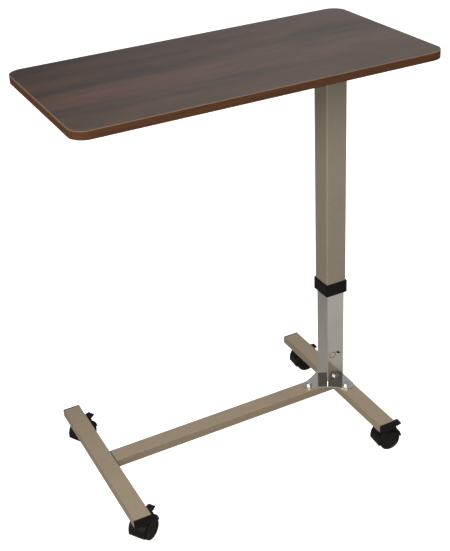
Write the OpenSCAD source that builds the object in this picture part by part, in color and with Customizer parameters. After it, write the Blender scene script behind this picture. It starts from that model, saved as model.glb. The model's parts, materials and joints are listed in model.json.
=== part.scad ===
// Overbed table on castors: a one-sided laminated top on a telescopic square column,
// over an H-shaped base of flat rectangular tube with four braked twin-wheel castors.
// +Z is up, +X runs from the free end of the top to the column end, +Y to the back.
// The floor is z = 0 and the middle of the top stands over the origin.

/* [Table top] */
// Length of the top along X
top_l = 760; // [720:1:820]
// Width of the top along Y
top_w = 390; // [360:1:420]
// Thickness of the top with its laminate
top_t = 16; // [15:1:20]
// Corner radius of the top
top_r = 32; // [24:1:45]
// Thickness of the plastic edge band
band_t = 2; // [1:0.5:3]
// Thickness of the decor laminate
lam_t = 0.8; // [0.6:0.1:1.2]
// Height of the top surface above the floor at rest
table_h = 920; // [910:1:930]

/* [Column] */
// X of the column axis
col_x = 239; // [236:1:242]
// Side of the outer tube
outer_w = 50; // [50:0.5:51]
// Side of the inner tube
inner_w = 45; // [44:0.5:45]
// Wall of both column tubes
col_wall = 1.5; // [1.2:0.1:1.5]
// Top end of the inner tube
inner_top = 640; // [630:1:645]
// Lower end of the collar at rest
collar_z = 334; // [330:1:345]
// Height of the collar
collar_h = 30; // [26:1:34]

/* [Base] */
// Length of the base along X
base_l = 642; // [630:1:646]
// Length of each foot along Y, with its end caps
base_w = 435; // [425:1:450]
// Width of the base tubes
bar_w = 40; // [38:1:42]
// Height of the base tubes
bar_h = 20; // [20:1:22]
// Wall of the base tubes
bar_wall = 1.5; // [1.2:0.1:2]
// Height of the underside of the base tubes
bar_z = 65; // [65:0.5:67]
// How far the right foot's centre line lies beyond the column axis
foot_off = 16; // [15:1:17]
// Thickness of the gusset plate
plate_t = 4; // [3:0.5:5]
// Half the spacing of the gusset plate's two side bolts
bolt_y = 46; // [45:0.5:48]

/* [Castors] */
// Distance of each castor's stem from the middle of its foot
castor_y = 185; // [180:1:188]
// Wheel diameter
wheel_d = 50; // [49:0.5:50]
// Width of one wheel
wheel_w = 16; // [15:0.5:17]
// Distance of the axle behind the swivel stem
trail = 16; // [15.5:0.5:16.5]
// Swivel of the left front castor at rest
turn_lf = 34; // [0:1:359]
// Swivel of the left back castor at rest
turn_lb = 31; // [0:1:359]
// Swivel of the right front castor at rest
turn_rf = 356; // [0:1:359]
// Swivel of the right back castor at rest
turn_rb = 356; // [0:1:359]

/* [Hidden] */
$fn = 48;
eps = 0.02;
run = 0.05;     // radial clearance of a pin or shaft that turns
slip = 0.35;    // clearance each side of the sliding plastic guides

top_z = table_h - top_t;
lam_z = table_h - lam_t;

rail_w = 25;
rail_h = 20;
rail_y = 60;
rail_x0 = -230;
rail_x1 = 300;
rail_z = top_z - rail_h;
head_t = 4;
head_l = 120;
head_w = 150;
head_z = rail_z - head_t;
screw_x = [-200, 40, 280];

outer_z = collar_z + 6;
outer_r = 3;
inner_r = 2.5;
collar_w = outer_w + 6;

bar_top = bar_z + bar_h;
bar_r = 2;
foot_rx = col_x + foot_off;
foot_lx = foot_rx - base_l + bar_w;
cap_t = 3.5;
plate_z = bar_top + plate_t;
// centre and radius of each corner of the gusset plate, and of the arcs between them
lobes = [[col_x - 59.5, 0, 14.5], [foot_rx + 1, -bolt_y, 16.5], [foot_rx + 1, bolt_y, 16.5]];
bite_r = 150;
bolts = [[col_x - 60, 0], [foot_rx - 1, -bolt_y], [foot_rx - 1, bolt_y]];
bolt_d = 8;
hex_af = 13;

anchor_x = col_x - 8;
anchor_z = 168;
anchor_r = 8.5;
cyl_r = 14;
cyl_bore = 12;
cyl_z0 = 176;
cyl_z1 = inner_top - 4;
gland_h = 20;
rod_r = 5;
piston_z = 400;
rod_top = rail_z + 5;
pin_r = 1.75;

pivot_x = col_x + 22;
pivot_z = rail_z + 11;
lever_t = 4;
lever_w = 18;
grip_x0 = 305;
grip_x1 = 370;

axle_z = wheel_d / 2;
axle_r = 3;
gap_y = 6.9;    // inner face of each wheel from the castor's middle plane
hood_w = 42;
hood_r = wheel_d / 2 + 4.3;
hood_edge = 3;   // rounding of the hood's two side edges
hood_swell = 0.8;    // how far the fender's centre stands behind the axle
skirt_z = 18.5;
well_r = wheel_d / 2 + 1.3;
web_t = 12.2;
stem_r = 4;
stud_r = 5;
hood_top = bar_z - 4;
pedal_x = trail + 11;
pedal_z = axle_z + 26.2;
pocket_w = 27;
trunnion_r = 1.5;

// name of each castor, its stem's x and y, and its swivel at rest
CASTORS = [
    ["lf", foot_lx, -castor_y, turn_lf],
    ["lb", foot_lx, castor_y, turn_lb],
    ["rf", foot_rx, -castor_y, turn_rf],
    ["rb", foot_rx, castor_y, turn_rb]
];

walnut = "#64554c";
board_c = "#b49468";
band_c = "#54392a";
paint = "#94897a";
chrome = "#c8c8c6";
zinc = "#a9adb0";
black = "#1c1b1a";
steel = "#8a8c8e";

// ---- shared shapes ----

module rounded(w, d, r) {
    offset(r) square([w - 2 * r, d - 2 * r], center = true);
}

module tube(w, d, wall, r, l) {
    linear_extrude(l) difference() {
        rounded(w, d, r);
        rounded(w - 2 * wall, d - 2 * wall, max(r - wall, 0.3));
    }
}

// lays a shape drawn along +Z down along -Y, with its drawn Y as height
module along_y(x, y, z) {
    translate([x, y, z]) rotate([90, 0, 0]) children();
}

// lays a shape drawn along +Z down along +X, keeping its width level
module along_x(x, y, z) {
    translate([x, y, z]) rotate([90, 0, 90]) children();
}

module hexagon(af, h) {
    cylinder(h = h, r = af / 2 / cos(30), $fn = 6);
}

module hex_nut(af, h, r) {
    difference() {
        intersection() {
            hexagon(af, h);
            cylinder(h = h, r1 = af * 0.52, r2 = af * 0.72);
        }
        translate([0, 0, -1]) cylinder(h = h + 2, r = r);
    }
}

// ---- table top ----

module top_outline(inset) {
    rounded(top_l - 2 * inset, top_w - 2 * inset, top_r - inset);
}

module screw_places() {
    for (x = screw_x, s = [-1, 1]) translate([x, s * rail_y, 0]) children();
}
// the screws nearest the column pass through the head plate as well
module screw(z) {
    translate([0, 0, z - 2.4]) difference() {
        cylinder(h = 2.4, r1 = 3.4, r2 = 4.4);
        for (a = [0, 90]) rotate(a) translate([-2.2, -0.4, -1]) cube([4.4, 0.8, 2.2]);
    }
    translate([0, 0, z - eps]) cylinder(h = rail_z + rail_h + 10 - z, r = 1.95);
}

module top_board() {
    color(board_c) difference() {
        translate([0, 0, top_z]) linear_extrude(top_t - lam_t) top_outline(band_t);
        screw_places() translate([0, 0, top_z - 1]) cylinder(h = 12, r = 2);
    }
}

module top_laminate() {
    color(walnut) translate([0, 0, lam_z]) linear_extrude(lam_t) top_outline(band_t);
}

module edge_band() {
    color(band_c) translate([0, 0, top_z]) linear_extrude(top_t) difference() {
        top_outline(0);
        top_outline(band_t);
    }
}

// ---- frame under the top ----

module rail(side) {
    length = rail_x1 - rail_x0;
    color(paint) difference() {
        union() {
            along_x(rail_x0, side * rail_y, rail_z + rail_h / 2)
                tube(rail_w, rail_h, bar_wall, bar_r, length);
            for (x = [rail_x0, rail_x1 - bar_wall])
                along_x(x, side * rail_y, rail_z + rail_h / 2)
                    linear_extrude(bar_wall) rounded(rail_w, rail_h, bar_r);
        }
        screw_places() translate([0, 0, rail_z - 1]) cylinder(h = rail_h + 2, r = 2.3);
    }
}

module rail_screws() {
    color(zinc) for (x = screw_x, s = [-1, 1]) translate([x, s * rail_y, 0])
        screw(x == screw_x[2] ? head_z : rail_z);
}

module head_plate() {
    color(paint) difference() {
        translate([col_x, 0, head_z]) linear_extrude(head_t) rounded(head_l, head_w, 8);
        translate([col_x, 0, head_z - 1]) cylinder(h = head_t + 2, r = rod_r + run);
        for (s = [-1, 1]) translate([screw_x[2], s * rail_y, head_z - 1])
            cylinder(h = head_t + 2, r = 2.3);
    }
}

// ---- column ----

module outer_tube() {
    color(paint) translate([col_x, 0, outer_z])
        tube(outer_w, outer_w, col_wall, outer_r, head_z - outer_z);
}

module collar() {
    socket = outer_w + 0.2;
    mouth = inner_w + 2 * slip;
    color(black) translate([col_x, 0, collar_z]) difference() {
        union() {
            linear_extrude(2) rounded(collar_w - 1.6, collar_w - 1.6, 3.4);
            translate([0, 0, 1]) linear_extrude(collar_h - 2) rounded(collar_w, collar_w, 4);
            translate([0, 0, collar_h - 2]) linear_extrude(2)
                rounded(collar_w - 1.6, collar_w - 1.6, 3.4);
        }
        translate([0, 0, -1]) linear_extrude(collar_h) rounded(mouth, mouth, inner_r + slip);
        translate([0, 0, 6]) linear_extrude(collar_h) rounded(socket, socket, outer_r + 0.1);
    }
}

module guide_block() {
    guide_w = outer_w - 2 * col_wall - 2 * slip;
    plug_w = inner_w - 2 * col_wall - 0.4;
    color(black) translate([col_x, 0, 0]) difference() {
        union() {
            translate([0, 0, inner_top - 30]) linear_extrude(30 + eps) rounded(plug_w, plug_w, 1);
            translate([0, 0, inner_top]) linear_extrude(7) rounded(guide_w, guide_w, 1.5);
        }
        translate([0, 0, inner_top - 31]) cylinder(h = 31, r = cyl_r + 0.1);
        translate([0, 0, inner_top - 1]) cylinder(h = 10, r = rod_r + 0.6);
    }
}

module inner_tube() {
    color(chrome) difference() {
        translate([col_x, 0, plate_z]) tube(inner_w, inner_w, col_wall, inner_r, inner_top - plate_z);
        along_y(anchor_x, inner_w, anchor_z) cylinder(h = 2 * inner_w, r = anchor_r + 0.03);
        along_y(col_x + 7, -inner_w / 4, anchor_z + 3) rotate(-35) linear_extrude(inner_w) {
            square([6.6, 4.4], center = true);
            for (s = [-1, 1]) translate([s * 3.3, 0]) circle(2.2);
        }
    }
}

module anchor_pin() {
    head = col_wall;
    color(chrome) along_y(anchor_x, 0, anchor_z) {
        translate([0, 0, -inner_w / 2 + head - eps]) cylinder(h = inner_w - 2 * head + 2 * eps, r = 4);
        for (a = [0, 180]) rotate([a, 0, 0]) difference() {
            translate([0, 0, inner_w / 2 - head]) {
                cylinder(h = head - 0.9, r = anchor_r);
                translate([0, 0, head - 0.9 - eps])
                    cylinder(h = 0.9 + eps, r1 = anchor_r, r2 = anchor_r - 1.2);
            }
            translate([0, 0, inner_w / 2 - 0.8]) cylinder(h = 1, r1 = 0.2, r2 = 1.4);
        }
    }
}

module gas_cylinder() {
    color(black) translate([col_x, 0, 0]) difference() {
        union() {
            translate([0, 0, cyl_z0]) cylinder(h = cyl_z1 - cyl_z0, r = cyl_r);
            translate([-14, -6, anchor_z]) cube([20, 12, cyl_z0 - anchor_z + 1]);
            along_y(anchor_x - col_x, 6, anchor_z) cylinder(h = 12, r = 9);
        }
        translate([0, 0, cyl_z0 + 8]) cylinder(h = cyl_z1 - cyl_z0, r = cyl_bore);
        along_y(anchor_x - col_x, 10, anchor_z) cylinder(h = 20, r = 4 + run);
    }
}

module gas_gland() {
    color(steel) translate([col_x, 0, cyl_z1 - gland_h]) difference() {
        cylinder(h = gland_h, r = cyl_bore - 0.03);
        translate([0, 0, -1]) cylinder(h = gland_h + 2, r = rod_r + run);
    }
}

module gas_piston() {
    color(steel) translate([col_x, 0, piston_z]) difference() {
        cylinder(h = 14, r = cyl_bore - run);
        translate([0, 0, -1]) cylinder(h = 16, r = rod_r + 0.02);
    }
}

module gas_rod() {
    color(chrome) translate([col_x, 0, 0]) difference() {
        translate([0, 0, piston_z]) cylinder(h = rod_top - piston_z, r = rod_r);
        translate([0, 0, rod_top - 30]) cylinder(h = 31, r = pin_r + run);
    }
}

module rod_nut() {
    color(zinc) translate([col_x, 0, rail_z]) hex_nut(17, 4.6, rod_r + 0.02);
}

module valve_pin() {
    color(steel) translate([col_x, 0, rod_top - 24]) {
        cylinder(h = 26, r = pin_r);
        translate([0, 0, 26]) sphere(r = pin_r);
    }
}

// ---- height release ----

module lever_bracket() {
    color(zinc) difference() {
        union() {
            translate([pivot_x - 8, -13, rail_z]) cube([16, 26, 2]);
            for (s = [-1, 1]) translate([0, s * 12 + 1, 0]) {
                along_y(pivot_x, 0, pivot_z) cylinder(h = 2, r = 5);
                translate([pivot_x - 5, -2, rail_z + 1]) cube([10, 2, pivot_z - rail_z - 1]);
            }
        }
        along_y(pivot_x, 20, pivot_z) cylinder(h = 40, r = 2.5 + 0.02);
    }
}

module lever_pin() {
    color(zinc) along_y(pivot_x, 14, pivot_z) {
        cylinder(h = 28, r = 2.5);
        translate([0, 0, -1.5]) cylinder(h = 1.5 + eps, r = 4);
    }
}

module release_lever() {
    z0 = rail_z + 9;
    low = rail_z - 3;
    color(zinc) difference() {
        union() {
            along_y(0, lever_w / 2, 0) linear_extrude(lever_w) polygon([
                [col_x - 4, z0], [296, z0], [306, low], [grip_x1 - 10, low],
                [grip_x1 - 10, low + lever_t], [309, low + lever_t],
                [298, z0 + lever_t], [col_x - 4, z0 + lever_t]
            ]);
            along_y(pivot_x, lever_w / 2, pivot_z) cylinder(h = lever_w, r = 5);
        }
        along_y(pivot_x, 20, pivot_z) cylinder(h = 40, r = 2.5 + run);
    }
}

module lever_grip() {
    low = rail_z - 3;
    length = grip_x1 - grip_x0 - 4;
    color(black) difference() {
        along_x(grip_x0 + 4, 0, low + lever_t / 2) linear_extrude(length) rounded(28, 12, 5);
        translate([grip_x0, -lever_w / 2 - 0.05, low - 0.05])
            cube([grip_x1 - 10 - grip_x0 + 0.05, lever_w + 0.1, lever_t + 0.1]);
    }
}

// ---- base ----

module bolt_places() {
    for (b = bolts) translate([b[0], b[1], 0]) children();
}

module bar_holes() {
    bolt_places() translate([0, 0, bar_z - 1]) cylinder(h = bar_h + 2, r = bolt_d / 2 + 0.25);
}

module foot(x) {
    length = base_w - 2 * cap_t;
    color(paint) difference() {
        along_y(x, length / 2, bar_z + bar_h / 2) tube(bar_w, bar_h, bar_wall, bar_r, length);
        for (s = [-1, 1]) translate([x, s * castor_y, bar_z - 1])
            cylinder(h = bar_wall + 2, r = 6.6);
        bar_holes();
    }
}

module spine() {
    x0 = foot_lx + bar_w / 2;
    color(paint) difference() {
        along_x(x0, 0, bar_z + bar_h / 2)
            tube(bar_w, bar_h, bar_wall, bar_r, foot_rx - foot_lx - bar_w);
        bar_holes();
    }
}

module end_cap(x, side) {
    plug_w = bar_w - 2 * bar_wall - 0.4;
    plug_h = bar_h - 2 * bar_wall - 0.4;
    color(black) translate([x, side * base_w / 2, bar_z + bar_h / 2]) rotate([side * 90, 0, 0]) {
        linear_extrude(cap_t) rounded(bar_w, bar_h, bar_r);
        translate([0, 0, cap_t - eps]) linear_extrude(16) difference() {
            rounded(plug_w, plug_h, 1);
            rounded(plug_w - 4, plug_h - 4, 0.5);
        }
    }
}

// plate outline: a lobe at each bolt, joined by arcs that bite in beside the column
module plate_outline() {
    a = lobes[0];
    b = lobes[1];
    span = norm([b[0] - a[0], b[1] - a[1]]);
    along = [b[0] - a[0], b[1] - a[1]] / span;
    out = [along[1], -along[0]];
    // an arc of radius bite_r tangent to both corners from outside
    p = (a[2] - b[2]) * (2 * bite_r + a[2] + b[2]) / (2 * span);
    q = sqrt(pow(bite_r + a[2], 2) - pow(p + span / 2, 2));
    centre = [(a[0] + b[0]) / 2, (a[1] + b[1]) / 2] + p * along + q * out;
    difference() {
        hull() for (l = lobes) translate([l[0], l[1]]) circle(l[2]);
        for (s = [1, -1]) translate([centre[0], s * centre[1]]) circle(bite_r, $fn = 160);
    }
}

module gusset_plate() {
    color(chrome) difference() {
        translate([0, 0, bar_top]) linear_extrude(plate_t) plate_outline();
        bolt_places() translate([0, 0, bar_top - 1])
            cylinder(h = plate_t + 2, r = bolt_d / 2 + 0.25);
    }
}

module plate_bolts() {
    head_h = 5.3;
    color(zinc) bolt_places() {
        translate([0, 0, bar_z - 11]) cylinder(h = plate_z - bar_z + 11 + eps, r = bolt_d / 2);
        translate([0, 0, plate_z]) rotate(15) intersection() {
            hexagon(hex_af, head_h);
            cylinder(h = head_h, r1 = hex_af * 0.85, r2 = hex_af * 0.5);
        }
    }
}

module plate_washers() {
    color(zinc) bolt_places() translate([0, 0, bar_z - 1.6]) difference() {
        cylinder(h = 1.6, r = 8);
        translate([0, 0, -1]) cylinder(h = 4, r = bolt_d / 2 + 0.2);
    }
}

module plate_nuts() {
    color(zinc) bolt_places() translate([0, 0, bar_z - 8.2])
        hex_nut(hex_af, 6.6, bolt_d / 2 + 0.02);
}

module stem_nuts() {
    color(zinc) for (c = CASTORS) translate([c[1], c[2], 0]) difference() {
        union() {
            translate([0, 0, bar_z - 1]) cylinder(h = 1, r = 9);
            translate([0, 0, bar_z - eps]) cylinder(h = 16, r = 6.5);
        }
        translate([0, 0, bar_z - 2]) cylinder(h = 20, r = stud_r + 0.02);
    }
}

// ---- castors, drawn with the stem on the Z axis and the axle behind it at +X ----

module at_castor(c) {
    translate([c[1], c[2], 0]) rotate(c[3]) children();
}

module stem(c) {
    color(zinc) at_castor(c) {
        translate([0, 0, 30]) cylinder(h = hood_top - 30 + 1, r = stem_r);
        translate([0, 0, hood_top + 0.4]) cylinder(h = 2.6, r = 7.5);
        translate([0, 0, hood_top + 2]) cylinder(h = 17, r = stud_r);
    }
}

// half of the hood's section: distance from its centre along X, width along Y
module hood_section(r) {
    w = hood_w / 2;
    c = hood_edge;
    polygon(concat(
        [[0, -w]],
        [for (a = [-90:15:0]) [r - c + c * cos(a), -w + c + c * sin(a)]],
        [for (a = [0:15:90]) [r - c + c * cos(a), w - c + c * sin(a)]],
        [[0, w]]
    ));
}

// opening in the top of the hood that the brake pedal works in
module pedal_pocket() {
    polygon([
        [pedal_x - 5, pedal_z + 9], [pedal_x - 4.4, pedal_z - 1.7], [pedal_x - 1, pedal_z - 5.2],
        [pedal_x + 3, pedal_z - 7.6], [pedal_x + 7, pedal_z - 9.3],
        [pedal_x + 11.6, pedal_z - 8.4], [pedal_x + 16, pedal_z - 5.2],
        [pedal_x + 16, pedal_z + 9]
    ]);
}

module hood(c) {
    color(black) at_castor(c) difference() {
        union() {
            difference() {
                translate([trail + hood_swell, 0, axle_z]) rotate([90, 0, 0])
                    rotate_extrude($fn = 96) hood_section(hood_r + hood_swell);
                translate([trail - 60, -40, axle_z - 60]) cube([60, 80, 60]);
                translate([trail - 1, -40, axle_z - 60]) cube([60, 80, 63]);
            }
            translate([trail, 0, skirt_z]) rotate(180)
                linear_extrude(axle_z - skirt_z + eps) hood_section(hood_r);
            along_y(trail, web_t / 2 + 0.4, axle_z) cylinder(h = web_t + 0.8, r = 8);
            translate([0, 0, axle_z + 20]) cylinder(h = hood_top - axle_z - 20, r = 9.5);
            along_y(pedal_x, pocket_w / 2 + 3, pedal_z) cylinder(h = pocket_w + 6, r = 3.2);
        }
        for (s = [-1, 1])
            along_y(trail, s * (web_t / 2 + 10) + 10, axle_z) cylinder(h = 20, r = well_r, $fn = 96);
        along_y(0, pocket_w / 2, 0) linear_extrude(pocket_w) pedal_pocket();
        along_y(trail, 30, axle_z) cylinder(h = 60, r = axle_r + 0.02);
        translate([0, 0, 29]) cylinder(h = 40, r = stem_r + run);
        along_y(pedal_x, 20, pedal_z) cylinder(h = 40, r = trunnion_r + run);
    }
}

module axle(c) {
    half = gap_y + wheel_w - 5;
    color(steel) at_castor(c) along_y(trail, half, axle_z) cylinder(h = 2 * half, r = axle_r);
}

// half section of a wheel: [radius, distance from its inner face]
module wheel_section() {
    r = wheel_d / 2;
    w = wheel_w;
    polygon([
        [axle_r + run, 0], [7, 0], [7, w - 6], [r - 4.5, w - 6], [r - 4.5, 1.5], [r - 3, 0.4],
        [r - 1, 0.4], [r - 0.3, 0.9], [r, 2], [r, w - 3], [r - 0.4, w - 1.6], [r - 1.5, w - 0.5],
        [r - 3, w], [r - 4.6, w], [r - 6, w - 1.6], [9, w - 1.6], [7.6, w - 0.6], [0, w - 0.6],
        [0, w - 4.4], [axle_r + run, w - 4.4]
    ]);
}

module wheel(c, side) {
    color(black) at_castor(c) translate([trail, 0, axle_z]) rotate([-90 * side, 0, 0])
        translate([0, 0, gap_y]) rotate_extrude($fn = 72) wheel_section();
}

// side view of the brake pedal: an arm out to the toe tab, with the shoe below it
module pedal_arm() {
    translate([pedal_x, pedal_z]) polygon([
        [-2.4, 1], [0, 3.1], [9, 3.7], [20, 3.4], [25.6, 2.7], [26.4, 1.8], [25.8, 0.7],
        [23.4, -0.2], [19, -1.6], [16, -2.5], [13, -2.2], [10.4, -1.6], [6, -2],
        [2.5, -1.8], [-1, -2.2], [-2.4, -1]
    ]);
}

module pedal_shoe() {
    translate([pedal_x, pedal_z]) polygon([
        [2.5, -1.8], [4.4, -4], [7.7, -5.4], [10.2, -3.8], [10.4, 0], [3, 1.2]
    ]);
}

module pedal(c) {
    color(black) at_castor(c) {
        along_y(pedal_x, 16.2, pedal_z) cylinder(h = 32.4, r = trunnion_r);
        along_y(pedal_x, 13, pedal_z) cylinder(h = 26, r = 2.6);
        along_y(0, 8.5, 0) linear_extrude(17) pedal_arm();
        along_y(0, 13, 0) linear_extrude(26) pedal_shoe();
    }
}

// ---- nodes ----

top_board();
top_laminate();
edge_band();
rail(-1);  // rail_front
rail(1);  // rail_back
rail_screws();
head_plate();
outer_tube();
collar();
guide_block();
inner_tube();
anchor_pin();
gas_cylinder();
gas_gland();
gas_rod();
gas_piston();
rod_nut();
valve_pin();
lever_bracket();
lever_pin();
release_lever();
lever_grip();
gusset_plate();
plate_bolts();
plate_washers();
plate_nuts();
foot(foot_lx);  // left_foot
spine();
foot(foot_rx);  // right_foot
end_cap(foot_lx, -1);  // cap_lf
end_cap(foot_lx, 1);  // cap_lb
end_cap(foot_rx, -1);  // cap_rf
end_cap(foot_rx, 1);  // cap_rb
stem_nuts();
stem(CASTORS[0]);  // stem_lf
hood(CASTORS[0]);  // hood_lf
axle(CASTORS[0]);  // axle_lf
wheel(CASTORS[0], -1);  // wheel_lf_a
wheel(CASTORS[0], 1);  // wheel_lf_b
pedal(CASTORS[0]);  // pedal_lf
stem(CASTORS[1]);  // stem_lb
hood(CASTORS[1]);  // hood_lb
axle(CASTORS[1]);  // axle_lb
wheel(CASTORS[1], -1);  // wheel_lb_a
wheel(CASTORS[1], 1);  // wheel_lb_b
pedal(CASTORS[1]);  // pedal_lb
stem(CASTORS[2]);  // stem_rf
hood(CASTORS[2]);  // hood_rf
axle(CASTORS[2]);  // axle_rf
wheel(CASTORS[2], -1);  // wheel_rf_a
wheel(CASTORS[2], 1);  // wheel_rf_b
pedal(CASTORS[2]);  // pedal_rf
stem(CASTORS[3]);  // stem_rb
hood(CASTORS[3]);  // hood_rb
axle(CASTORS[3]);  // axle_rb
wheel(CASTORS[3], -1);  // wheel_rb_a
wheel(CASTORS[3], 1);  // wheel_rb_b
pedal(CASTORS[3]);  // pedal_rb
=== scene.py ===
"""Looks for the overbed table: procedural finishes, softened edges, floor, light and camera.

Lengths are metres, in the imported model's own frame: +X towards the column end, +Y to the back,
+Z up, with the floor at zero.
"""
import json
from math import cos, radians, sin

import bpy
from mathutils import Matrix, Vector


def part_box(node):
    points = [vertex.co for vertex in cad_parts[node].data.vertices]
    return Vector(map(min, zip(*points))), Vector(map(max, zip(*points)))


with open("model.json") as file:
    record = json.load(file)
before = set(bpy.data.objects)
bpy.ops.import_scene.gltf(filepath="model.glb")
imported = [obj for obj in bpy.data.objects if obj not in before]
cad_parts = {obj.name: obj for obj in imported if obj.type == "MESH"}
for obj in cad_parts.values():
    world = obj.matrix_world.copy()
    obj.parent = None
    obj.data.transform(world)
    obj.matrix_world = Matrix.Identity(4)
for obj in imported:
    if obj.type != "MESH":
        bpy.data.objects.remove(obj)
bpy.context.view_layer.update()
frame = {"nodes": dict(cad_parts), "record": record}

# ---- camera ----

AZIMUTH, ELEVATION, ROLL = radians(-25.49), radians(29.62), radians(-3.37)
CAMERA_AT = Vector((-0.8405, -1.7066, 1.527))
# height of the picture and focal length, both in its own pixels
FRAME_HEIGHT, FOCAL = 551, 1015.1
SENSOR = 36


def add_camera():
    """Looks from in front of the free end, down on the top, with a hand-held view's small lean."""
    back = Vector((sin(AZIMUTH) * cos(ELEVATION), -cos(AZIMUTH) * cos(ELEVATION), sin(ELEVATION)))
    level = Vector((cos(AZIMUTH), sin(AZIMUTH), 0))
    upright = back.cross(level)
    right = level * cos(ROLL) + upright * sin(ROLL)
    up = upright * cos(ROLL) - level * sin(ROLL)
    camera = bpy.data.objects.new("camera", bpy.data.cameras.new("camera"))
    bpy.context.scene.collection.objects.link(camera)
    turn = Matrix((right, up, back)).transposed().to_4x4()
    camera.matrix_world = Matrix.Translation(CAMERA_AT) @ turn
    camera.data.sensor_width = SENSOR
    camera.data.lens = FOCAL / FRAME_HEIGHT * SENSOR
    camera.data.clip_end = 60
    bpy.context.scene.camera = camera


# ---- shader building ----


class Shader:
    """One Principled material and the few node patterns that the finishes here share."""

    def __init__(self, name, **values):
        self.material = bpy.data.materials.new(name)
        self.material.use_nodes = True
        tree = self.material.node_tree
        tree.nodes.clear()
        self.nodes, self.links = tree.nodes, tree.links
        self.surface = self.add("ShaderNodeBsdfPrincipled")
        output = self.add("ShaderNodeOutputMaterial")
        self.links.new(self.surface.outputs[0], output.inputs[0])
        self.place = self.add("ShaderNodeTexCoord").outputs["Object"]
        self.normal = None
        for socket, value in values.items():
            self.surface.inputs[socket.replace("_", " ")].default_value = value

    def add(self, kind, **settings):
        node = self.nodes.new(kind)
        for key, value in settings.items():
            setattr(node, key, value)
        return node

    def feed(self, socket, value):
        """Links a node's output into a socket, or sets a plain number or colour there."""
        if isinstance(value, bpy.types.NodeSocket):
            self.links.new(value, socket)
        elif isinstance(value, tuple) and len(value) == 3 and socket.type == "RGBA":
            socket.default_value = (*value, 1)
        else:
            socket.default_value = value

    def noise(self, scale, detail=3.0, roughness=0.5, distortion=0.0, shift=(0, 0, 0)):
        """Noise with its own scale along each axis, in features a metre."""
        mapping = self.add("ShaderNodeMapping")
        self.links.new(self.place, mapping.inputs["Vector"])
        mapping.inputs["Scale"].default_value = scale if isinstance(scale, tuple) else (scale,) * 3
        mapping.inputs["Location"].default_value = shift
        noise = self.add("ShaderNodeTexNoise")
        self.links.new(mapping.outputs[0], noise.inputs["Vector"])
        noise.inputs["Scale"].default_value = 1
        noise.inputs["Detail"].default_value = detail
        noise.inputs["Roughness"].default_value = roughness
        noise.inputs["Distortion"].default_value = distortion
        return noise.outputs["Fac"]

    def scratches(self, scale, width):
        """Thin wandering lines, as wiping and handling leave them."""
        mapping = self.add("ShaderNodeMapping")
        self.links.new(self.place, mapping.inputs["Vector"])
        mapping.inputs["Scale"].default_value = scale
        cells = self.add("ShaderNodeTexVoronoi", feature="DISTANCE_TO_EDGE")
        self.links.new(mapping.outputs[0], cells.inputs["Vector"])
        cells.inputs["Scale"].default_value = 1
        return self.remap(cells.outputs["Distance"], 0, width, 1, 0)

    def remap(self, value, low, high, to_low, to_high):
        node = self.add("ShaderNodeMapRange", clamp=True)
        for name, number in zip(("Value", "From Min", "From Max", "To Min", "To Max"),
                                (value, low, high, to_low, to_high)):
            self.feed(node.inputs[name], number)
        return node.outputs[0]

    def maths(self, operation, a, b=0):
        node = self.add("ShaderNodeMath", operation=operation)
        self.feed(node.inputs[0], a)
        self.feed(node.inputs[1], b)
        return node.outputs[0]

    def mix(self, factor, a, b):
        """Blends two colours, which the Mix node has at sockets 6 and 7 and gives at output 2."""
        node = self.add("ShaderNodeMix", data_type="RGBA")
        self.feed(node.inputs["Factor"], factor)
        self.feed(node.inputs[6], a)
        self.feed(node.inputs[7], b)
        return node.outputs[2]

    def axis(self, name):
        split = self.add("ShaderNodeSeparateXYZ")
        self.links.new(self.place, split.inputs[0])
        return split.outputs[name]

    def bump(self, height, depth):
        """Adds relief of this depth in metres on top of any relief already there."""
        node = self.add("ShaderNodeBump")
        node.inputs["Strength"].default_value = 1
        node.inputs["Distance"].default_value = depth
        self.links.new(height, node.inputs["Height"])
        if self.normal is not None:
            self.links.new(self.normal, node.inputs["Normal"])
        self.normal = node.outputs[0]
        self.links.new(self.normal, self.surface.inputs["Normal"])

    def colour(self, value):
        self.feed(self.surface.inputs["Base Color"], value)

    def rough(self, value):
        self.feed(self.surface.inputs["Roughness"], value)


# ---- finishes ----


# the two broad dark streaks, along the middle and at the back left corner: middle and half width
# across the top in metres, and strength towards the free end and towards the column end
STREAKS = (0.036, 0.036, (0.95, 0.45)), (0.175, 0.05, (0.8, 0))
CHARCOAL = (0.02, 0.0175, 0.016)


def main_streaks(s):
    """Strength of each broad streak, wandering a little across the top."""
    low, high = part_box("top_laminate")
    along = s.remap(s.axis("X"), low[0], high[0], 0, 1)
    wander = s.remap(s.noise((3.2, 7, 1), detail=3, shift=(5.1, 2.2, 0)), 0.3, 0.7, -0.03, 0.03)
    across = s.maths("ADD", s.axis("Y"), wander)
    for middle, width, strengths in STREAKS:
        away = s.maths("ABSOLUTE", s.maths("SUBTRACT", across, middle))
        fade = s.remap(along, 0.1, 0.75, *strengths)
        yield s.maths("MULTIPLY", s.remap(away, 0, width, 1, 0), fade)


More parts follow.
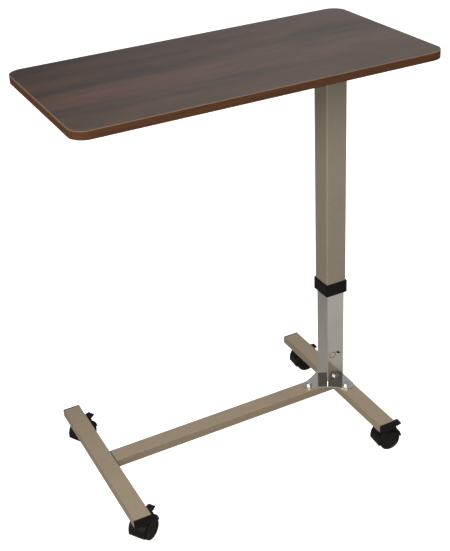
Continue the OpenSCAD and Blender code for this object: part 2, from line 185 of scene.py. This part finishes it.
def walnut_laminate():
    """Printed walnut under a satin overlay: charcoal streaks in red-brown, fine grain, pores."""
    s = Shader("walnut_laminate", IOR=1.5)
    tone = s.noise((1.1, 5, 1), detail=2, shift=(2.3, 0.6, 0))
    streak = s.noise((2.3, 17, 1), detail=4, roughness=0.5, distortion=0.35, shift=(0.7, 3.1, 0))
    grain = s.noise((5, 120, 1), detail=5, roughness=0.62, distortion=0.5)
    fibre = s.noise((16, 560, 1), detail=3, roughness=0.6)
    brown = s.mix(s.remap(tone, 0.35, 0.65, 0, 1), (0.066, 0.038, 0.027), (0.108, 0.052, 0.031))
    streaked = s.mix(s.remap(streak, 0.48, 0.68, 0, 0.7), brown, CHARCOAL)
    for band in main_streaks(s):
        streaked = s.mix(band, streaked, CHARCOAL)
    lined = s.mix(s.remap(grain, 0.45, 0.75, 0, 0.6), streaked, (0.024, 0.017, 0.014))
    pale = s.mix(s.remap(grain, 0.25, 0.42, 0.4, 0), lined, (0.16, 0.095, 0.062))
    s.colour(s.mix(s.remap(fibre, 0.55, 0.75, 0, 0.45), pale, (0.02, 0.014, 0.012)))
    s.rough(s.remap(s.noise((9, 14, 9), detail=2), 0.3, 0.7, 0.33, 0.41))
    s.bump(fibre, 0.00004)
    return s.material


# how far below the top the band's pale line, paler plastic exposed by the trim and a painted
# highlight, fades in, and where it is full
TRIM_HIGHLIGHT_FADE, TRIM_HIGHLIGHT_FULL = 0.0011, 0.0006


def edge_band():
    """Brown plastic banding with printed grain and a paler line along its upper edge: paler
    plastic exposed by the trim and a painted highlight.
    """
    s = Shader("edge_band", IOR=1.46, Specular_IOR_Level=0.28)
    grain = s.noise((7, 7, 420), detail=4, roughness=0.6, distortion=0.4)
    body = s.mix(s.remap(grain, 0.35, 0.7, 0, 1), (0.105, 0.041, 0.016), (0.055, 0.021, 0.009))
    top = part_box("edge_band")[1][2]
    # paler upper edge line: plastic exposed by the trim, with a painted highlight
    trim_and_highlight = s.remap(s.axis("Z"), top - TRIM_HIGHLIGHT_FADE, top - TRIM_HIGHLIGHT_FULL, 0, 1)
    s.colour(s.mix(trim_and_highlight, body, (0.27, 0.15, 0.08)))
    s.rough(s.remap(s.noise(60, detail=2), 0.3, 0.7, 0.36, 0.48))
    s.bump(grain, 0.00003)
    return s.material


# where the painted shade and dirt beside a butt joint is darkest, and where it ends
SHADE_DIRT_FULL, SHADE_DIRT_END = 0.0006, 0.0026


def powder_paint(name, dark, light, seams=()):
    """Champagne metallic powder coat: fine flake, orange peel, faint handling marks, and a dark
    line of painted shadow and dirt at each butt joint standing at one of the given X positions."""
    s = Shader(name, Metallic=0.3, IOR=1.5)
    flake = s.noise(1500, detail=1)
    drift = s.noise((6, 6, 4), detail=3)
    base = s.mix(s.remap(drift, 0.3, 0.7, 0, 1), dark, light)
    speck = s.mix(s.remap(flake, 0.5, 0.75, 0, 0.5), base, tuple(c * 1.45 for c in light))
    marks = s.scratches((30, 30, 9), 0.02)
    tone = s.mix(s.maths("MULTIPLY", marks, 0.12), speck, (0.2, 0.165, 0.125))
    # painted shade and dirt: a dark line beside each butt joint
    for x in seams:
        away = s.maths("ABSOLUTE", s.maths("SUBTRACT", s.axis("X"), x))
        tone = s.mix(s.remap(away, SHADE_DIRT_FULL, SHADE_DIRT_END, 0.75, 0), tone, (0.05, 0.042, 0.035))
    s.colour(tone)
    s.rough(s.remap(s.noise((14, 14, 10), detail=4), 0.3, 0.7, 0.36, 0.46))
    s.bump(s.noise(420, detail=2), 0.00003)
    return s.material


def chrome(name, tint, low, high):
    """Bright plate with a slight haze, polishing lines up its length and fingermarks."""
    s = Shader(name, Metallic=1.0)
    haze = s.noise((18, 18, 9), detail=5, roughness=0.6)
    lines = s.noise((900, 900, 6), detail=2)
    s.colour(s.mix(s.remap(haze, 0.35, 0.75, 0, 0.35), tint, tuple(c * 0.82 for c in tint)))
    wiped = s.remap(haze, 0.3, 0.7, low, high)
    s.rough(s.maths("ADD", wiped, s.remap(lines, 0.4, 0.7, 0, 0.03)))
    s.bump(lines, 0.000004)
    return s.material


# width of the pin head's dark rim, of the part of it that is fully dark, and radii of its dimple
RIM, RIM_FULL = 0.0024, 0.0014
DIMPLE_FULL, DIMPLE = 0.0008, 0.0018


def pin_head():
    """Chromed head flush in the column's wall: painted shadow and dirt in its rim and centre
    dimple.
    """
    s = Shader("pin_head", Metallic=1.0)
    low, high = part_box("anchor_pin")
    radius = (high[0] - low[0]) / 2
    squares = []
    for name, i in (("X", 0), ("Z", 2)):
        leg = s.maths("SUBTRACT", s.axis(name), (low[i] + high[i]) / 2)
        squares.append(s.maths("MULTIPLY", leg, leg))
    reach = s.maths("SQRT", s.maths("ADD", *squares))
    rim = s.maths("MULTIPLY", s.remap(reach, radius - RIM, radius - RIM_FULL, 0, 1),
                  s.remap(s.noise(260, detail=2), 0.3, 0.6, 0.6, 1))
    dimple = s.remap(reach, DIMPLE_FULL, DIMPLE, 0.7, 0)
    # painted shadow and dirt, darkest at the rim and in the dimple
    dark = s.maths("MAXIMUM", rim, dimple)
    s.colour(s.mix(dark, (0.86, 0.82, 0.74), (0.2, 0.18, 0.14)))
    s.rough(s.remap(dark, 0, 1, 0.16, 0.4))
    s.bump(s.noise(500, detail=2), 0.00001)
    return s.material


def plated_steel(name, tint, roughness):
    """Zinc plate or turned steel: dull cloudy patches and short tool lines."""
    s = Shader(name, Metallic=1.0)
    cloud = s.noise(140, detail=4)
    s.colour(s.mix(s.remap(cloud, 0.35, 0.7, 0, 0.6), tint, tuple(c * 0.7 for c in tint)))
    s.rough(s.remap(cloud, 0.3, 0.7, roughness - 0.06, roughness + 0.1))
    s.bump(s.noise((300, 300, 2200), detail=1), 0.00001)
    return s.material


# height above the floor that dust reaches
DUST_TOP = 0.045


def moulded_plastic(name, tint, roughness, grain=900, dust=0.0):
    """Black moulding with a fine spark-eroded grain, rubbed patches and dust near the floor."""
    s = Shader(name, IOR=1.5, Specular_IOR_Level=0.18)
    mottle = s.noise(45, detail=4)
    worn = s.mix(s.remap(mottle, 0.45, 0.75, 0, 0.5), tint, tuple(c * 1.6 + 0.002 for c in tint))
    if dust:
        settled = s.maths("MULTIPLY", s.remap(s.axis("Z"), 0, DUST_TOP, dust, 0),
                          s.remap(s.noise(260, detail=3), 0.4, 0.75, 0.1, 1))
        worn = s.mix(settled, worn, (0.16, 0.145, 0.125))
    s.colour(worn)
    s.rough(s.remap(mottle, 0.3, 0.7, roughness - 0.07, roughness + 0.08))
    s.bump(s.noise(grain, detail=2), 0.00003)
    return s.material


def particle_board():
    """Pressed chips, seen only from below."""
    s = Shader("particle_board", IOR=1.45)
    chips = s.noise((220, 160, 220), detail=4, roughness=0.7)
    s.colour(s.mix(s.remap(chips, 0.35, 0.65, 0, 1), (0.3, 0.2, 0.11), (0.5, 0.37, 0.22)))
    s.rough(0.75)
    s.bump(chips, 0.00015)
    return s.material


# darker and lighter tone of the paint on the base, and of the same paint on the column, toned
# cooler and darker there as painted light and shade
CHAMPAGNE = (0.32, 0.257, 0.182), (0.36, 0.292, 0.21)
COLUMN_PAINTED_SHADE = (0.288, 0.252, 0.198), (0.325, 0.286, 0.229)
BLACK = (0.0034, 0.003, 0.0028)


def make_finishes():
    """A finish for each material slot of the record."""
    return {
        "walnut_laminate": walnut_laminate(),
        "edge_band": edge_band(),
        "board": particle_board(),
        "paint": powder_paint("champagne_paint", *CHAMPAGNE),
        "chrome": chrome("chrome_plate", (0.8, 0.765, 0.715), 0.07, 0.15),
        "chrome_rod": chrome("ground_rod", (0.62, 0.62, 0.62), 0.12, 0.2),
        "zinc": plated_steel("zinc_plate", (0.42, 0.46, 0.53), 0.4),
        "steel": plated_steel("turned_steel", (0.46, 0.46, 0.47), 0.34),
        "black_paint": moulded_plastic("black_enamel", BLACK, 0.3, grain=200),
        "black_plastic": moulded_plastic("black_mould", BLACK, 0.46),
        "castor_nylon": moulded_plastic("castor_nylon", BLACK, 0.42, dust=0.1),
        "wheel_black": moulded_plastic("wheel_tread", BLACK, 0.5, dust=0.18),
        "grip_rubber": moulded_plastic("grip_rubber", BLACK, 0.66, grain=600),
    }


def dress_nodes(finishes):
    """Puts each CAD node's finish in its material slot, with three finishes made for one node."""
    for part in frame["record"]["subparts"]:
        mesh = frame["nodes"][part["node"]].data
        mesh.materials.clear()
        mesh.materials.append(finishes[part["material_slot"]])
    foot_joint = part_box("spine")[0][0]
    own_finishes = {
        "spine": powder_paint("champagne_paint_spine", *CHAMPAGNE, seams=(foot_joint,)),
        # the same paint toned cooler and darker for the column, as painted light and shade
        "outer_tube": powder_paint("champagne_paint_column_painted_shade", *COLUMN_PAINTED_SHADE),
        "anchor_pin": pin_head(),
    }
    for name, finish in own_finishes.items():
        frame["nodes"][name].data.materials[0] = finish


# ---- softened edges ----

CASTORS = ("lf", "lb", "rf", "rb")
# bevel width in metres for nodes whose real edges are rounded by moulding, bending or plating
SOFT_EDGES = {
    0.0007: ["edge_band"],
    0.0006: ["gusset_plate", "head_plate", "lever_bracket", "release_lever"],
    0.0009: ["collar", "lever_grip", "guide_block"],
    0.0008: [f"cap_{c}" for c in CASTORS],
    0.001: [f"hood_{c}" for c in CASTORS],
    0.0005: [f"pedal_{c}" for c in CASTORS],
    0.0003: ["plate_bolts", "plate_nuts", "rod_nut"],
}


def soften_edges():
    """Rounds the corners that the CAD leaves sharp, and leaves curved faces alone."""
    for width, names in SOFT_EDGES.items():
        for name in names:
            bevel = frame["nodes"][name].modifiers.new("bevel", "BEVEL")
            bevel.width = width
            bevel.segments = 2
            bevel.limit_method = "ANGLE"
            bevel.angle_limit = radians(40)


# ---- floor and light ----


# direction across the floor in which its grey brightens as painted light: from the coordinate to
# the shade, low and high
FLOOR_BRIGHTENS, FLOOR_SPAN = (0.5, -0.85, 0), (-0.5, 0.7, 0.34, 0.58)
# direction of the room's pale wall: from the cosine to the brightness, low and high
PALE_WALL, WALL_SPAN = Vector((0.85, 0.45, 0.2)).normalized(), (0.64, 0.95, 0.11, 0.56)
FLOOR_RADIUS = 25
TABLE_MIDDLE = Vector((0, 0, 0.5))
WARM, NEAR_WHITE = (1, 0.95, 0.88), (1, 0.98, 0.96)


def ramp_along(tree, coordinate, direction, span, interpolation="LINEAR"):
    """A number that rises from one end of a span to the other along a direction."""
    place = tree.nodes.new("ShaderNodeTexCoord")
    along = tree.nodes.new("ShaderNodeVectorMath")
    along.operation = "DOT_PRODUCT"
    along.inputs[1].default_value = direction
    tree.links.new(place.outputs[coordinate], along.inputs[0])
    ramp = tree.nodes.new("ShaderNodeMapRange")
    ramp.interpolation_type = interpolation
    for name, number in zip(("From Min", "From Max", "To Min", "To Max"), span):
        ramp.inputs[name].default_value = number
    tree.links.new(along.outputs["Value"], ramp.inputs["Value"])
    return ramp.outputs[0]


def seen_and_lit(tree, seen, lit):
    """Gives camera rays the first shader and every other ray the second."""
    choose = tree.nodes.new("ShaderNodeMixShader")
    rays = tree.nodes.new("ShaderNodeLightPath")
    tree.links.new(rays.outputs["Is Camera Ray"], choose.inputs[0])
    tree.links.new(lit.outputs[0], choose.inputs[1])
    tree.links.new(seen.outputs[0], choose.inputs[2])
    return choose.outputs[0]


def add_floor():
    """A pale floor that shows plain white, lights the table as a mid-grey one would, with painted
    light brightening that grey towards the front right, and lets a view from below see through it."""
    bpy.ops.mesh.primitive_circle_add(vertices=96, radius=FLOOR_RADIUS, fill_type="NGON")
    floor = bpy.context.object
    floor.name = "floor"
    material = bpy.data.materials.new("floor_pale")
    material.use_nodes = True
    tree = material.node_tree
    seen = tree.nodes["Principled BSDF"]
    seen.inputs["Base Color"].default_value = (0.8, 0.8, 0.8, 1)
    seen.inputs["Specular IOR Level"].default_value = 0
    seen.inputs["Emission Color"].default_value = (1, 1, 1, 1)
    seen.inputs["Emission Strength"].default_value = 1
    lit = tree.nodes.new("ShaderNodeBsdfDiffuse")
    # painted light: the grey that the table sees is ramped brighter towards the front right
    shade = ramp_along(tree, "Object", FLOOR_BRIGHTENS, FLOOR_SPAN)
    tree.links.new(shade, lit.inputs["Color"])
    from_below = tree.nodes.new("ShaderNodeMixShader")
    side = tree.nodes.new("ShaderNodeNewGeometry")
    tree.links.new(side.outputs["Backfacing"], from_below.inputs[0])
    tree.links.new(seen_and_lit(tree, seen, lit), from_below.inputs[1])
    tree.links.new(tree.nodes.new("ShaderNodeBsdfTransparent").outputs[0], from_below.inputs[2])
    tree.links.new(from_below.outputs[0], tree.nodes["Material Output"].inputs[0])
    floor.data.materials.append(material)


def add_light(name, at, size, power, tint=(1, 1, 1)):
    """A soft box of this size and power, turned towards the middle of the table."""
    data = bpy.data.lights.new(name, "AREA")
    data.shape = "RECTANGLE"
    data.size, data.size_y = size
    data.energy = power
    data.color = tint
    light = bpy.data.objects.new(name, data)
    bpy.context.scene.collection.objects.link(light)
    light.location = at
    light.rotation_euler = (TABLE_MIDDLE - Vector(at)).to_track_quat("-Z", "Y").to_euler()


def add_world():
    """A dim room with one pale wall behind the table, seen only in what the table reflects. The
    camera itself sees plain white."""
    world = bpy.data.worlds.new("studio")
    world.use_nodes = True
    tree = world.node_tree
    seen = tree.nodes["Background"]
    seen.inputs["Color"].default_value = (1, 1, 1, 1)
    seen.inputs["Strength"].default_value = 1
    lit = tree.nodes.new("ShaderNodeBackground")
    lit.inputs["Color"].default_value = (1, 0.98, 0.95, 1)
    wall = ramp_along(tree, "Generated", PALE_WALL, WALL_SPAN, "SMOOTHSTEP")
    tree.links.new(wall, lit.inputs["Strength"])
    tree.links.new(seen_and_lit(tree, seen, lit), tree.nodes["World Output"].inputs[0])
    bpy.context.scene.world = world


def add_studio():
    bpy.context.scene.view_settings.view_transform = "Standard"
    add_world()
    add_light("key", (-2.0, -2.2, 2.7), (2, 2), 112, WARM)
    add_light("front", (0.5, -3.7, 1.2), (2.6, 1.6), 15, NEAR_WHITE)
    add_light("left", (-3.6, -0.7, 1.1), (2.2, 1.6), 30, NEAR_WHITE)
    add_light("right", (2.9, -0.6, 2.9), (2, 2), 14)
    add_light("back", (1.0, 2.2, 3.8), (1.6, 1.6), 26)


add_camera()
dress_nodes(make_finishes())
soften_edges()
add_floor()
add_studio()
